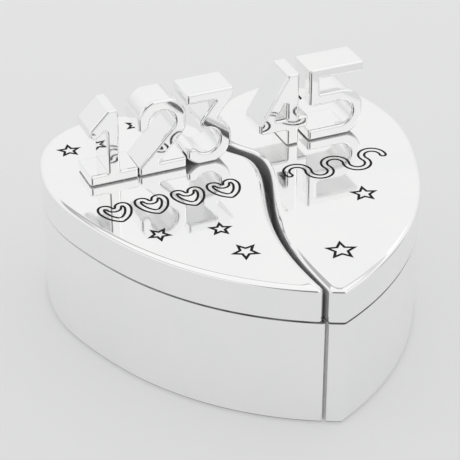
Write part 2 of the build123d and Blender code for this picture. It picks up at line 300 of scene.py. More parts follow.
# %% Outlines of a half
def half_outline(sign, inset, tip_shift, cleft_shift, tip_round, cleft_round, parting_inset=0.0):
    """One half, anticlockwise from its corner at the cleft or the tip: points and outward directions."""
    heart = drawn_in((heart_points, heart_outs), inset)
    swing = math.atan2(tip_shift - cleft_shift, CLEFT_HEIGHT)
    parting = turned(parting_points, swing) + (tip_shift, 0.0), outward(turned(parting_headings, swing))
    if sign > 0:
        parting = parting[0][::-1], -parting[1][::-1]
    parting = parting[0] - parting_inset * parting[1], parting[1]

    def corner(radius, place):
        on_heart, on_parting = crossings(heart[0] - radius * heart[1], parting[0] - radius * parting[1])
        return on_heart[place], on_parting[place]

    tip_heart, tip_parting = corner(tip_round, 0)
    cleft_heart, cleft_parting = corner(cleft_round, -1)
    heart = part_of(heart, *sorted((tip_heart, cleft_heart)))
    parting = part_of(parting, *sorted((tip_parting, cleft_parting)))
    radii = (cleft_round, tip_round) if sign > 0 else (tip_round, cleft_round)
    outline = []
    for run, following, radius in ((heart, parting, radii[0]), (parting, heart, radii[1])):
        rounded = fan(run[0][-1] - radius * run[1][-1], run[1][-1], following[1][0], radius)
        outline += [run, [values[1:-1] for values in rounded]]
    points, outs = joined(*outline)
    return points + (0.0, TIP_Y), outs


def cup_outline(sign, inset, tip_round=INNER_CORNER_RADIUS, cleft_round=INNER_CORNER_RADIUS):
    """A half of the cups, drawn in by inset on every side, as the walls, linings and felt need it."""
    step = sign * (BASE_GAP / 2 + inset)
    return half_outline(sign, LID_OVERHANG + inset, BASE_GAP_ASIDE + step, step, tip_round, cleft_round)


# %% [markdown]
# ## Rings that match
#
# Walls, rims and linings are all rings at some inset and height. To lace two rings together they need the
# same number of points, each beside its partner. The outer outline is spread so that tight corners get more
# points than straight runs. The inner ones are read off at the same bearing from a middle point inside the
# half, which sees the whole outline.

# %% Stations round a half
STATIONS = 520
CORNER_WEIGHT = 3.0
MIDDLES = {-1: np.array([-16.0, 8.0]), 1: np.array([16.0, 8.0])}


def spread(line):
    """A closed line with its points spread anew, evenly by length plus a weight for each turn."""
    points, outs = (np.concatenate([values, values[:1]]) for values in line)
    length = np.hypot(*np.diff(points, axis=0).T)
    turn = np.abs(np.arctan2(cross(outs[:-1], outs[1:]), (outs[:-1] * outs[1:]).sum(1)))
    places = np.concatenate([[0.0], np.cumsum(length + CORNER_WEIGHT * turn)])
    return read_off((points, outs), places, np.linspace(0.0, places[-1], STATIONS, endpoint=False))


def bearings(points, middle):
    """Which way each point lies from the middle."""
    return np.arctan2(*(points - middle).T[::-1])


def beside(line, partner, middle):
    """The points of a line that lie at the same bearings from the middle as the partner's points."""
    around = np.unwrap(bearings(line[0], middle))
    order = np.argsort(around[:-1])
    start = around[order[0]]
    wanted = (bearings(partner[0], middle) - start) % (2 * math.pi) + start
    ends = np.append(order, order[0])
    places = around[ends]
    places[-1] += 2 * math.pi
    return read_off((line[0][ends], line[1][ends]), places, wanted)


def lid_outline(sign, inset):
    """A half of the lids. Drawn in, its sharp corner at the tip gets rounder, as a polished edge does."""
    tip_shift, cleft_shift = sign * LID_GAP_AT_TIP / 2, sign * LID_GAP_AT_CLEFT / 2
    tip_round = LID_CORNER_RADIUS + (LID_CORNER_WEAR - LID_CORNER_RADIUS) * inset / LID_EDGE_WIDTH
    return half_outline(sign, inset, tip_shift, cleft_shift, tip_round, CLEFT_CORNER_RADIUS - inset, inset)


SIDES = {"left": -1, "right": 1}
lid_lines, cup_lines = {}, {}
for side, sign in SIDES.items():
    lid_lines[side] = spread(lid_outline(sign, 0.0))
    cup_lines[side] = spread(cup_outline(sign, 0.0, CUP_CORNER_RADIUS, CLEFT_CORNER_RADIUS))
    low, high = lid_lines[side][0].min(0), lid_lines[side][0].max(0)
    print(side, "lid from", np.round(low, 2), "to", np.round(high, 2), "mm")

# %% [markdown]
# ## Finishes
#
# Polished silver plate is nearly a mirror. What keeps it from looking like a computer's mirror is small: the
# polishing wheel leaves the shine a little uneven, and the casting below it is very slightly wavy. So colour
# and roughness are read from noises, and a faint bump from a broad one bends the reflections. All patterns
# read Object coordinates, so they stay on the metal whatever moves.

# %% Helpers for materials
def new_material(name):
    """A node material: returns it, its node tree and its Principled shader."""
    material = bpy.data.materials.new(name)
    material.use_nodes = True
    return material, material.node_tree, material.node_tree.nodes["Principled BSDF"]


def filled(tree, node, inputs):
    """Puts a link, a number, a direction or a colour into each of a node's inputs that is named."""
    for name, source in inputs.items():
        socket = node.inputs[name]
        if isinstance(source, bpy.types.NodeSocket):
            tree.links.new(source, socket)
        elif isinstance(source, tuple):
            socket.default_value = (*source, 1.0)[: len(socket.default_value)]
        else:
            socket.default_value = source
    return node


def added(tree, kind, inputs, **settings):
    """A new node. Its settings come before its inputs, because some of them decide which inputs it has."""
    node = tree.nodes.new(f"ShaderNode{kind}")
    for name, value in settings.items():
        setattr(node, name, value)
    return filled(tree, node, inputs)


# %% Patterns and sums
def noise(tree, scale, detail=3.0, stretch=None):
    """A noise on Object coordinates. Scale is in features to the metre; stretch draws it out along an axis."""
    place = added(tree, "TexCoord", {}).outputs["Object"]
    if stretch:
        place = added(tree, "Mapping", {"Vector": place, "Scale": stretch}).outputs["Vector"]
    return added(tree, "TexNoise", {"Vector": place, "Scale": scale, "Detail": detail}).outputs["Fac"]


def ranged(tree, value, low, high, start=0.3, end=0.7):
    """A value stretched from the span start to end onto the span low to high."""
    inputs = {"Value": value, "From Min": start, "From Max": end, "To Min": low, "To Max": high}
    return added(tree, "MapRange", inputs).outputs["Result"]


def blended(tree, value, first, second):
    """A colour between two, by a value from 0 to 1."""
    return added(tree, "Mix", {"A": first, "B": second, "Factor": value}, data_type="RGBA").outputs["Result"]


def worked_out(tree, operation, first, second):
    """Two values put together by a sum, a product or another operation."""
    return added(tree, "Math", {0: first, 1: second}, operation=operation).outputs["Value"]


def product(tree, first, second):
    """Two values multiplied."""
    return worked_out(tree, "MULTIPLY", first, second)


def along_z(tree, direction):
    """The third number of a direction or a place."""
    return added(tree, "SeparateXYZ", {"Vector": direction}).outputs["Z"]


def bumped(tree, shader, layers):
    """Bumps one over another, each a height, the depth in metres that it stands for, and a strength."""
    below = {}
    for height, depth, strength in layers:
        bump = added(tree, "Bump", {"Height": height, "Distance": depth, "Strength": strength, **below})
        below = {"Normal": bump.outputs["Normal"]}
    filled(tree, shader, below)


# %% Polished silver plate
WARM_SILVER, COOL_SILVER = (0.975, 0.973, 0.968), (0.95, 0.952, 0.955)
# Painted shade: a near black, less metallic colour laid where shade falls in seams, in the parting and along
# feet
PAINTED_SHADE = (0.045, 0.045, 0.046)
# Dull grey for the numerals' undersides close to the lid: partly unpolished plating, partly painted shade under
# the strokes
DULL_AND_SHADE = (0.56, 0.56, 0.565)
FROSTED = (0.93, 0.93, 0.93)
SHINE = (0.035, 0.085)
# Where the foot's painted shade and the dull grey fade out above the lid, in millimetres, and how far down an
# underside looks
FOOT_LINE = (0.035, 0.056)
DULL_AND_SHADE_REACH = (0.8, 2.2)
UNDERSIDE = (-0.6, -0.1)
# How dark the painted shade along a numeral's foot is, how frosted the plating along the parting, and how much
# rougher both kinds of unpolished plating are than the polished
NUMERAL_FOOT_SHADE, FROSTED_SHARE = 0.9, 0.7
FROSTED_ROUGHNESS, SATIN_ROUGHNESS = 0.3, 0.28


def read(tree, name):
    """A number that the mesh carries."""
    return added(tree, "Attribute", {}, attribute_name=name).outputs["Fac"]


def box_shade_and_frost(tree):
    """Painted shade where the boxes' rings say so, and frosted plating that is rougher too."""
    frosted = read(tree, "frosted")
    return read(tree, "shade_amount"), *[product(tree, frosted, share) for share in (FROSTED_SHARE, FROSTED_ROUGHNESS)]


def numeral_shade(tree):
    """Painted shade along a numeral's foot line, a dull grey under it close to the lid that is partly
    unpolished plating and partly painted shade, and satin undersides.
    """
    place = added(tree, "TexCoord", {})
    height = along_z(tree, place.outputs["Object"])
    foot = ranged(tree, height, NUMERAL_FOOT_SHADE, 0.0, *[(LID_TOP_Z + reach) * MM for reach in FOOT_LINE])
    low = ranged(tree, height, 1.0, 0.0, *[(LID_TOP_Z + reach) * MM for reach in DULL_AND_SHADE_REACH])
    under = ranged(tree, along_z(tree, place.outputs["Normal"]), 1.0, 0.0, *UNDERSIDE)
    return foot, product(tree, low, under), product(tree, under, SATIN_ROUGHNESS)


def silver_plate(name, unpolished, where):
    """Silver, colour and shine a little uneven from the wheel, with a broad faint wave from the casting. The
    function where gives the shares of painted shade and of unpolished plating, both less metallic than silver,
    and the roughness that comes on top. On the numerals the unpolished grey is partly painted shade as well."""
    material, tree, shader = new_material(name)
    colour = blended(tree, ranged(tree, noise(tree, 90.0, 4.0), 0.0, 1.0), WARM_SILVER, COOL_SILVER)
    dark, matt, satin = where(tree)
    # The painted shade, a little uneven in how dark it is
    dark = product(tree, dark, ranged(tree, noise(tree, 260.0), 0.85, 1.05))
    amount = worked_out(tree, "MAXIMUM", dark, matt)
    rough = worked_out(tree, "ADD", product(tree, amount, 0.5), satin)
    inputs = {
        "Base Color": blended(tree, dark, blended(tree, matt, colour, unpolished), PAINTED_SHADE),
        "Metallic": worked_out(tree, "SUBTRACT", 1.0, amount),
        "Roughness": worked_out(tree, "ADD", ranged(tree, noise(tree, 420.0, 5.0), *SHINE), rough),
    }
    filled(tree, shader, inputs)
    bumped(tree, shader, [(noise(tree, 55.0, 1.0), 0.00006, 0.25), (noise(tree, 2600.0, 2.0), 0.000004, 0.10)])
    return material


# %% Black enamel
ENAMEL_DEEP, ENAMEL_PALE = (0.003, 0.003, 0.0035), (0.009, 0.009, 0.01)


def black_enamel():
    """Enamel baked in the engraving: nearly black, hardly glossy, with a fine ripple where it shrank."""
    material, tree, shader = new_material("black_enamel")
    tone = noise(tree, 900.0)
    colour = blended(tree, ranged(tree, tone, 0.0, 1.0), ENAMEL_DEEP, ENAMEL_PALE)
    roughness = ranged(tree, tone, 0.40, 0.55)
    filled(tree, shader, {"Base Color": colour, "Roughness": roughness, "Specular IOR Level": 0.12})
    bumped(tree, shader, [(noise(tree, 3000.0, 2.0), 0.00001, 0.2)])
    return material


# %% [markdown]
# Velvet shows its colour at the edges, where the eye looks along the pile, and goes dark where it looks
# straight down between the threads. The shader's sheen does that. The pile leans a little one way or the
# other in patches, so a broad noise changes the colour, and a fine one stands for the threads' ends.

# %% Velvet, felt and steel
VELVET_DEEP, VELVET_PALE = (0.012, 0.016, 0.06), (0.03, 0.04, 0.13)
VELVET_SHEEN = (0.35, 0.42, 0.85)
FELT_DEEP, FELT_PALE = (0.012, 0.012, 0.013), (0.05, 0.05, 0.052)
STEEL_GREY, STEEL_PALE = (0.50, 0.50, 0.51), (0.62, 0.62, 0.62)


def velvet():
    """Dark blue velvet: patches where the pile leans, fine thread ends, and a blue sheen."""
    material, tree, shader = new_material("dark_blue_velvet")
    patches = noise(tree, 160.0, 4.0)
    pile = noise(tree, 5200.0, 2.0, (1.0, 1.0, 0.5))
    colour = blended(tree, ranged(tree, patches, 0.0, 1.0), VELVET_DEEP, VELVET_PALE)
    filled(tree, shader, {"Base Color": colour, "Roughness": 0.95, "Specular IOR Level": 0.15})
    filled(tree, shader, {"Sheen Weight": 0.8, "Sheen Roughness": 0.35, "Sheen Tint": VELVET_SHEEN})
    bumped(tree, shader, [(patches, 0.0003, 0.3), (pile, 0.00008, 0.8)])
    return material


def felt():
    """Black wool felt: a mat of short curled fibres, so two noises, one drawn out along its length."""
    material, tree, shader = new_material("black_felt")
    fibres = noise(tree, 2400.0, 6.0, (1.0, 0.35, 1.0))
    colour = blended(tree, ranged(tree, fibres, 0.0, 1.0), FELT_DEEP, FELT_PALE)
    filled(tree, shader, {"Base Color": colour, "Roughness": 1.0})
    filled(tree, shader, {"Specular IOR Level": 0.1, "Sheen Weight": 0.3})
    bumped(tree, shader, [(noise(tree, 500.0, 4.0), 0.0002, 0.4), (fibres, 0.00006, 0.7)])
    return material


def screw_steel():
    """Turned steel: the lathe's rings are finer than can be seen, so a drawn-out noise stands for them."""
    material, tree, shader = new_material("turned_steel")
    turning = noise(tree, 3000.0, 3.0, (1.0, 1.0, 6.0))
    colour = blended(tree, ranged(tree, turning, 0.0, 1.0), STEEL_GREY, STEEL_PALE)
    roughness = ranged(tree, turning, 0.22, 0.40)
    filled(tree, shader, {"Base Color": colour, "Metallic": 1.0, "Roughness": roughness})
    bumped(tree, shader, [(turning, 0.00001, 0.3)])
    return material


# The finish that goes with each slot of the record: of the new pieces, and of the CAD nodes that stay
silver = silver_plate("polished_silver_plate", FROSTED, box_shade_and_frost)
numeral_silver = silver_plate("polished_silver_numerals", DULL_AND_SHADE, numeral_shade)
finishes = {"silver_plate": silver, "black_enamel": black_enamel(), "velvet": velvet(), "felt": felt()}
node_finishes = {"silver_plate": numeral_silver, "screw_steel": screw_steel()}
print("finishes:", [material.name for group in (finishes, node_finishes) for material in group.values()])

# %% [markdown]
# ## From rings to a skin
#
# A cup or a lid is a profile carried round its outline. The profile is a list of rings, each an outline with
# a height, and the skin is one grid: across the profile one way, round the outline the other way. Each ring
# also says how far the surface leans there, once for the band that ends on it and once for the band that
# leaves it. From that come exact directions for shading, so a flat stays dead flat right up to where its
# rounded edge starts. The two ends of the profile close in a pole.

# %% Build a mesh
def add_piece(name, points, faces, slot, body, replaced, normals=None, numbers=None):
    """A piece in place of a CAD node, from points in millimetres and faces, with its slot's finish. Normals are
    one for each corner of each face, in order. Numbers are what the points carry for the material to read."""
    mesh = bpy.data.meshes.new(name)
    mesh.from_pydata((points * MM).tolist(), [], [face for group in faces for face in group.tolist()])
    mesh.polygons.foreach_set("use_smooth", np.ones(len(mesh.polygons), bool))
    mesh.materials.append(finishes[slot])
    mesh.update()
    for attribute, values in (numbers or {}).items():
        mesh.attributes.new(attribute, "FLOAT", "POINT").data.foreach_set("value", values)
    if normals is not None:
        mesh.normals_split_custom_set(normals.reshape(-1, 3).tolist())
    piece = bpy.data.objects.new(name, mesh)
    bpy.context.scene.collection.objects.link(piece)
    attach(piece, body)
    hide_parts(replaced)
    print(f"{name}: {len(points)} points, {len(mesh.polygons)} faces")
    return piece


# %% Faces between rings
def grid_faces(rows, columns):
    """Squares of a grid that closes round its columns: down a row, then along to the next column."""
    start = (np.arange(rows - 1) * columns)[:, None]
    here = np.arange(columns)[None]
    following = (here + 1) % columns
    return np.stack([start + here, start + columns + here, start + columns + following, start + following], -1)


def ring_faces(rows, columns):
    """Faces of rings of points, closed by a pole before the first point and one after the last."""
    here = np.arange(columns)
    following = (here + 1) % columns
    last = (rows - 1) * columns + 1
    first_cap = np.stack([np.zeros(columns, int), here + 1, following + 1], -1)
    last_cap = np.stack([last + here, np.full(columns, rows * columns + 1), last + following], -1)
    return [first_cap, grid_faces(rows, columns).reshape(-1, 4) + 1, last_cap]


# %% A skin and a tube
UP, DOWN, OUT, BACK = math.pi / 2, -math.pi / 2, 0.0, math.pi


def tilted(outs, tilt):
    """Directions that lean from the outline's outward direction up by an angle: out cos + up sin."""
    up = np.full((len(outs), 1), math.sin(tilt))
    return np.concatenate([outs * math.cos(tilt), up], -1)


def skin(name, rings, middle, slot, body, replaced, numbers=None):
    """A closed skin of rings, each (outline, height, lean of the band before it, lean of the band after it).
    Numbers hold a row for each ring."""
    columns = len(rings[0][0][0])
    levels = [np.column_stack([line[0], np.full(columns, height)]) for line, height, _, _ in rings]
    poles = [np.array([[*middle, ring[1]]]) for ring in (rings[0], rings[-1])]
    before = np.stack([tilted(line[1], lean) for line, _, lean, _ in rings])
    after = np.stack([tilted(line[1], lean) for line, _, _, lean in rings])
    rolled = np.roll(after, -1, 1)[:-1], np.roll(before, -1, 1)[1:]
    corners = np.stack([after[:-1], before[1:], rolled[1], rolled[0]], 2)
    ends = [(0.0, 0.0, math.copysign(1.0, lean)) for lean in (rings[0][2], rings[-1][3])]
    flats = [np.tile(end, (columns * 3, 1)) for end in ends]
    normals = np.concatenate([flats[0], corners.reshape(-1, 3), flats[1]])
    numbers = {key: np.concatenate([[0.0], np.ravel(rows), [0.0]]) for key, rows in (numbers or {}).items()}
    points = np.concatenate([poles[0], *levels, poles[1]])
    return add_piece(name, points, ring_faces(len(rings), columns), slot, body, replaced, normals, numbers)


def tube(near, far, shares, heights):
    """A closed tube round an outline. Its profile is shares of the way between two edges, with heights."""
    across = near[None] + shares[:, None, None] * (far - near)[None]
    rows, columns = len(shares), len(near)
    levels = np.broadcast_to(heights[:, None, None], (rows, columns, 1))
    points = np.concatenate([across, levels], -1).reshape(-1, 3)
    return points, grid_faces(rows + 1, columns).reshape(-1, 4) % (rows * columns)


# %% Rings of a profile
FLAT_SHARES = np.linspace(0.2, 0.8, 4)


def set_in(line, amount):
    """An outline further in: each point back along its own outward direction."""
    return line[0] - amount * line[1], line[1]


def toward(line, middle, share):
    """An outline shrunk towards the middle, for the flat inside a ring."""
    return middle + share * (line[0] - middle), line[1]


def flat(line, middle, height, tilt, inwards):
    """Rings that carry a flat between its rim and its pole."""
    shares = FLAT_SHARES[::-1] if inwards else FLAT_SHARES
    return [(toward(line, middle, share), height, tilt, tilt) for share in shares]


def rounding(line, radius, height, start, end, steps, deep=0.0):
    """Rings round an edge of that radius. Leans run from start to end, and a point on the edge lies a radius
    from the middle of the rounding, in the direction of its lean. Deep is how far inside the line the edge is
    where it leans straight out."""
    rings = []
    for lean in np.linspace(start, end, steps + 1):
        contour = set_in(line, deep + radius * (1 - math.cos(lean)))
        rings.append((contour, height + radius * math.sin(lean), lean, lean))
    return rings


# %% [markdown]
# ## Painted shade where metal meets metal
#
# Shade falls in the seam under the lid, between the lids and along the foot, and the silver paints it there as
# a dark, less metallic colour, most of all in the seam. The two walls that face each other across the parting
# are filed and plated but not polished. They keep the frosted white of fresh plating, and between the lids some
# painted shade. Two mirrors so close together would show each other over and over as bright and dark streaks.
# So each ring carries two numbers for it, round the outline, which the silver reads: shade amount and frosted.

# %% Painted shade
# How strong the painted shade is in the seam, between the lids and along the foot
SEAM_SHADE = 1.0
LID_PARTING_SHADE = 0.6
FOOT_SHADE = 1.0
SEAM_SPREAD = 0.12
# How far in from the heart's line a wall starts to count as the parting's, and over how much it comes in
PARTING_START, PARTING_BLEND = 0.15, 0.6
# How far from the tip the seam's painted shade is full, over how much it fades, and by what share
SEAM_SHADE_REACH, SEAM_BLEND, SEAM_LOSS = 12.0, 40.0, 0.75
# The least cosine of an upright wall's lean, the lean from the flat at which a rounding has its full painted
# shade, and how much of the rounding at the foot gets painted shade
UPRIGHT, FULL_TURN, FOOT_SHARE = 0.85, 0.35, 0.8


def facing_parting(line):
    """1 on the wall along the parting and 0 on the outer wall, by how far in from the heart's line it is."""
    away = line[0][:, None] - (heart_points + (0.0, TIP_Y))[None]
    distance = np.sqrt((away**2).sum(-1)).min(1)
    share = np.clip((distance - PARTING_START - LID_OVERHANG) / PARTING_BLEND, 0.0, 1.0)
    return share * share * (3 - 2 * share)


def seam_shade_weight(line):
    """How strong the seam's painted shade is: most at the tip, where the lid sits proud, and less towards the
    lobes.
    """
    return 1.0 - SEAM_LOSS * np.clip((line[0][:, 1] - TIP_Y - SEAM_SHADE_REACH) / SEAM_BLEND, 0.0, 1.0)


def shade_and_frost_rows(rings, line, wall_shade=0.0):
    """The numbers for the rings, painted shade and frosted: the parting's upright wall, the seam's two
    roundings, the edge at the foot.
    """
    facing = facing_parting(line)
    shades, frosts = [], []
    for _, height, before, after in rings:
        wall = facing * (max(math.cos(before), math.cos(after)) > UPRIGHT)
        turned_out = min(1.0, max(0.0, (UP - abs(before)) / FULL_TURN))
        in_seam = abs(height - SEAM_Z) <= RIM_RADIUS + TINY
        at_foot = FELT_STAND <= height < FELT_STAND + FOOT_SHARE * BASE_EDGE_RADIUS
        seam = in_seam * turned_out * SEAM_SHADE * seam_shade_weight(line)
        shades.append(np.maximum(wall_shade * wall, np.maximum(seam, at_foot * FOOT_SHADE)))
        frosts.append(wall)
    return {"shade_amount": shades, "frosted": frosts}


# %% [markdown]
# ## The cups
#
# Each cup is cast: a floor and a standing wall two millimetres thick, with a shallow recess below for the
# felt. A real one is cast in sand or wax, filed flat along its rim and polished, which rounds every edge by
# a few tenths of a millimetre. The profile starts in the middle of the floor inside, climbs the wall, goes
# over the rim, down outside, under the edge and into the recess.

# %% Cups
def cup(side):
    """The profile from the floor inside, up, over the rim, down outside and into the recess for the felt."""
    sign, line = SIDES[side], cup_lines[side]
    middle = MIDDLES[sign]
    cavity = beside(cup_outline(sign, WALL), line, middle)
    recess = beside(cup_outline(sign, FELT_INSET), line, middle)
    rim_z = SEAM_Z - RIM_RADIUS
    rings = flat(cavity, middle, FLOOR_Z, UP, False) + [(cavity, FLOOR_Z, UP, BACK)]
    rings += rounding(cavity, RIM_RADIUS, rim_z, BACK, UP, 4, deep=-2 * RIM_RADIUS)
    rings += rounding(line, RIM_RADIUS, rim_z, UP, OUT, 4) + [(line, rim_z - SEAM_SPREAD, OUT, OUT)]
    rings += rounding(line, BASE_EDGE_RADIUS, FELT_STAND + BASE_EDGE_RADIUS, OUT, DOWN, 5)
    rings += [(recess, FELT_STAND, DOWN, BACK), (recess, FELT_THICKNESS, BACK, DOWN)]
    rings += flat(recess, middle, FELT_THICKNESS, DOWN, True)
    skin(f"{side}_cup", rings, middle, "silver_plate", f"{side}_box", f"{side}_base", shade_and_frost_rows(rings, line))


for side in SIDES:
    cup(side)

# %% [markdown]
# ## The lids
#
# A lid is a flat plate with a soft rounded edge and a skirt down to the seam. A tongue inside the skirt drops
# into the cup and keeps the lid in place. It is open below, to take the velvet pad that hides the screws.
#
# The wheel rolls an edge over further along the top than down the side, so the rounding is a quarter of an
# ellipse, wider than deep. A point on it lies at width (1 - cos t) in and drop (1 - sin t) down, and the
# surface leans by the angle whose tangent is (width sin t) / (drop cos t).

# %% Lids
EDGE_STEPS = 14


def rolled_edge(sign, line, middle):
    """Rings over the lid's edge, from the flat top to the upright wall."""
    rings = []
    for t in np.linspace(UP, OUT, EDGE_STEPS + 1):
        inset = LID_EDGE_WIDTH * (1 - math.cos(t))
        contour = beside(lid_outline(sign, inset), line, middle) if inset > TINY else line
        lean = math.atan2(LID_EDGE_WIDTH * math.sin(t), LID_EDGE_DROP * math.cos(t))
        rings.append((contour, LID_TOP_Z - LID_EDGE_DROP * (1 - math.sin(t)), lean, lean))
    return rings


def lid(side):
    """The profile from the middle of the top, over the edge, down and round the tongue, into the hollow."""
    sign, line = SIDES[side], lid_lines[side]
    middle = MIDDLES[sign]
    tongue = beside(cup_outline(sign, TONGUE_INSET, TONGUE_CORNER_RADIUS, TONGUE_CORNER_RADIUS), line, middle)
    hollow = beside(cup_outline(sign, HOLLOW_INSET), line, middle)
    edge = rolled_edge(sign, line, middle)
    skirt_z = SEAM_Z + RIM_RADIUS
    rings = flat(edge[0][0], middle, LID_TOP_Z, UP, False) + edge + [(line, skirt_z + SEAM_SPREAD, OUT, OUT)]
    rings += rounding(line, RIM_RADIUS, skirt_z, OUT, DOWN, 4)
    lead = DOWN / 2
    rings += [(tongue, SEAM_Z, DOWN, OUT), (tongue, TONGUE_Z + TONGUE_LEAD, OUT, lead)]
    rings += [(set_in(tongue, TONGUE_LEAD), TONGUE_Z, lead, DOWN), (hollow, TONGUE_Z, DOWN, BACK)]
    rings += [(hollow, HOLLOW_TOP_Z, BACK, DOWN)] + flat(hollow, middle, HOLLOW_TOP_Z, DOWN, True)
    numbers = shade_and_frost_rows(rings, line, LID_PARTING_SHADE)
    skin(f"{side}_lid_shell", rings, middle, "silver_plate", f"{side}_cover", f"{side}_lid", numbers)


for side in SIDES:
    lid(side)

# %% [markdown]
# ## The standing numerals and their screws
#
# The numerals are cast in one piece, with small roundings where strokes meet. Such blends are what a CAD
# program is good at, and its surfaces came with exact directions for shading, so these nodes stay and only
# get the metal. The screws that hold them from below are plain turned steel, under the velvet.

# %% Numerals and screws
for name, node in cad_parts.items():
    finish = node_finishes.get(node.data.materials[0].name)
    if finish and (name.startswith("figure") or name.endswith("screws")):
        node.data.materials[0] = finish
        print(name, "gets", finish.name)

# %% [markdown]
# ## Black enamel
#
# The decoration is engraved as lines half a millimetre wide and filled with black enamel, which spreads a
# hair over the edges and stands proud of the metal as a low dome. So each line is a band: its two edges in
# the plane of the lid, and between them a low arch, closed by a flat bottom in the engraving.

# %% A band of enamel
STAR_LINE = 0.60
DOUBLE_LINE = 0.56
DOME_HEIGHT = 0.03
DOME_SINK = 0.004
INLAY_DEPTH = 0.15


def enamel_bands(name, bands, side, replaced):
    """Closed bands. Across one, a point is edge + share (other edge - edge), and it rises as a half sine."""
    across = np.linspace(0.0, 1.0, 7)
    dome = LID_TOP_Z - DOME_SINK + DOME_HEIGHT * np.sin(np.pi * across)
    shares, heights = np.append(across, [1.0, 0.0]), np.append(dome, [LID_TOP_Z - INLAY_DEPTH] * 2)
    points, faces, start = [], [], 0
    for near, far in bands:
        band, squares = tube(near, far, shares, heights)
        points.append(band)
        faces.append(squares + start)
        start += len(band)
    add_piece(name, np.concatenate(points), faces, "black_enamel", f"{side}_cover", replaced)


# %% [markdown]
# The stars are plain five-pointed ones, scattered and turned as on the real lid. A star is ten corners at
# two reaches in turn, and its line lies inside that outline, so the inner edge is the same star a little
# smaller.

# %% Stars
STAR_RADIUS = 3.1
STAR_WAIST = 0.46
STAR_POINTS = 5
LEFT_STARS = [
    (-0.150, 0.242, 1.00, 104.6),
    (-0.167, 0.357, 0.86, 74.0),
    (-0.315, 0.391, 0.87, 44.0),
    (-0.385, 0.860, 0.90, 80.0),
    (-0.174, 0.920, 0.85, 60.0),
]
RIGHT_STARS = [
    (0.0655, 0.158, 1.10, 71.0),
    (0.236, 0.369, 1.00, 73.0),
    (0.318, 0.905, 0.85, 95.0),
    (0.410, 0.826, 0.80, 62.0),
]


def star_band(x, y, size, turn):
    """The two edges of a star's line, anticlockwise: reach in turn at the radius and at the waist."""
    radius = size * STAR_RADIUS
    waist = STAR_WAIST * radius
    step = math.pi / STAR_POINTS
    side_length = math.sqrt(radius**2 + waist**2 - 2 * radius * waist * math.cos(step))
    inner = 1 - STAR_LINE * side_length / (radius * waist * math.sin(step))
    reach = np.tile([[radius], [waist]], (STAR_POINTS, 1))
    corners = turned(reach * pointing(np.arange(2 * STAR_POINTS) * step), math.radians(turn))
    centre = np.array([x * HEART_WIDTH, TIP_Y + y * HEART_LENGTH])
    return centre + inner * corners, centre + corners


for side, stars in (("left", LEFT_STARS), ("right", RIGHT_STARS)):
    enamel_bands(f"{side}_star_enamel", [star_band(*star) for star in stars], side, f"{side}_lid_stars")

# %% [markdown]
# In the middle of the left lid runs a row of small hearts, each drawn with two lines. They are the box's own
# outline made small. In the middle of the right lid runs a scroll of half turns, a double line as well.

# %% Small hearts
PRINT_ROW = 0.522
DOUBLE_SPACING = 1.2
HEART_COUNT = 4
HEARTS_MIDDLE, HEARTS_WIDTH, HEART_FILL = -0.228, 0.395, 0.933
HEART_TIP_RADIUS = 1.4 * DOUBLE_LINE
HEART_CLEFT_POINTS = 12
row_y = TIP_Y + PRINT_ROW * HEART_LENGTH


def small_heart_bands(centre_x, pitch):
    """Two bands inside a small heart's outline. At the cleft the inner lines run round it as an arc."""
    scale = HEART_FILL * pitch / HEART_WIDTH
    line = heart_line(HEART_WIDTH * scale, HEART_LENGTH * scale, CLEFT_DEPTH * scale, HEART_TIP_RADIUS)
    start, end = np.arctan2(line[1][[-1, 0], 1], line[1][[-1, 0], 0])
    round_cleft = pointing(np.linspace(start, end, HEART_CLEFT_POINTS))
    points, outs = joined(line, (np.tile(line[0][-1:], (HEART_CLEFT_POINTS, 1)), round_cleft))
    points[:, 1] -= scale * HEART_LENGTH / 2
    bands = []
    for outer in (0.0, DOUBLE_SPACING):
        inner = points - (outer + DOUBLE_LINE) * outs
        low = points[:, 1] < 0
        stays = ~low | (inner[:, 0] * points[:, 0] > 0) | (np.abs(points[:, 0]) < TINY)
        pair = [(points - depth * outs)[stays][::2] for depth in (outer + DOUBLE_LINE, outer)]
        bands.append([edge + (centre_x, row_y) for edge in pair])
    return bands


pitch = HEARTS_WIDTH * HEART_WIDTH / HEART_COUNT
places = HEARTS_MIDDLE * HEART_WIDTH + (np.arange(HEART_COUNT) - (HEART_COUNT - 1) / 2) * pitch
heart_bands = [band for place in places for band in small_heart_bands(place, pitch)]
enamel_bands("left_heart_enamel", heart_bands, "left", "left_lid_hearts")

# %% Scroll
SCROLL_COUNT = 5
SCROLL_CURL = math.radians(20)
SCROLL_MIDDLE, SCROLL_WIDTH = 0.2355, 0.272


def scroll_band():
    """One closed line: arcs of over half a turn, up and down in turn, and back along the other side."""
    step = SCROLL_WIDTH * HEART_WIDTH / SCROLL_COUNT
    radius = step / (2 * math.cos(SCROLL_CURL))
    start_x = SCROLL_MIDDLE * HEART_WIDTH - SCROLL_COUNT * step / 2
    runs = []
    for turn in range(SCROLL_COUNT):
        way, start = 1 - 2 * (turn % 2), (start_x + turn * step, row_y)
        heading = (-math.sin(SCROLL_CURL), way * math.cos(SCROLL_CURL))
        points, headings = arc(start, heading, radius, -way * (math.pi + 2 * SCROLL_CURL))
        runs.append((points[:-1], outward(headings)[:-1]))
    points, outs = joined(*runs)
    half = DOUBLE_SPACING / 2
    far_end, near_end = fan(points[-1], outs[-1], -outs[-1], half), fan(points[0], -outs[0], outs[0], half)
    there, back = (points + half * outs, outs), backwards(points - half * outs, outs)
    middle, outs = joined(there, far_end, back, near_end)
    return middle - DOUBLE_LINE / 2 * outs, middle + DOUBLE_LINE / 2 * outs


enamel_bands("right_scroll_enamel", [scroll_band()], "right", "right_lid_scroll")

